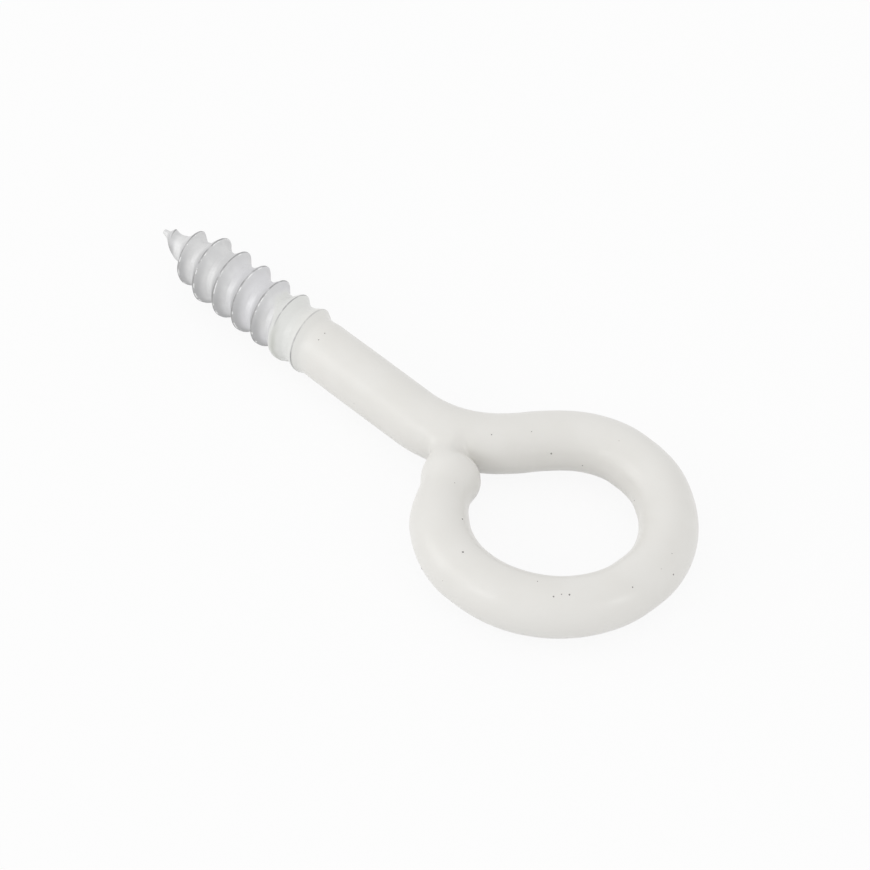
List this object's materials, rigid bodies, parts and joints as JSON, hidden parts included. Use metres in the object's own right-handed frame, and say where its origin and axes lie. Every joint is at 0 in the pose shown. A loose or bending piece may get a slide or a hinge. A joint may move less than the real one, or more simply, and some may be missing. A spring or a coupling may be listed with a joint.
{
  "type": "screw eye",
  "caption": "White coated steel screw eye: a round eye bent from wire on a plain shank with a coarse wood-screw thread, to hook or tie things to.",
  "frame": {"origin": "middle of the bounding box in plan, at the height of the lowest thread crest it lies on", "axes": "+X along the shank from the point to the eye, +Z along the axis of the eye, which lies flat"},
  "size_m": [0.058, 0.0238, 0.0058],
  "materials": {
    "coated_steel": "gloss"
  },
  "bodies": {
    "root": {"screw_eye": "coated_steel"}
  },
  "joints": []
}
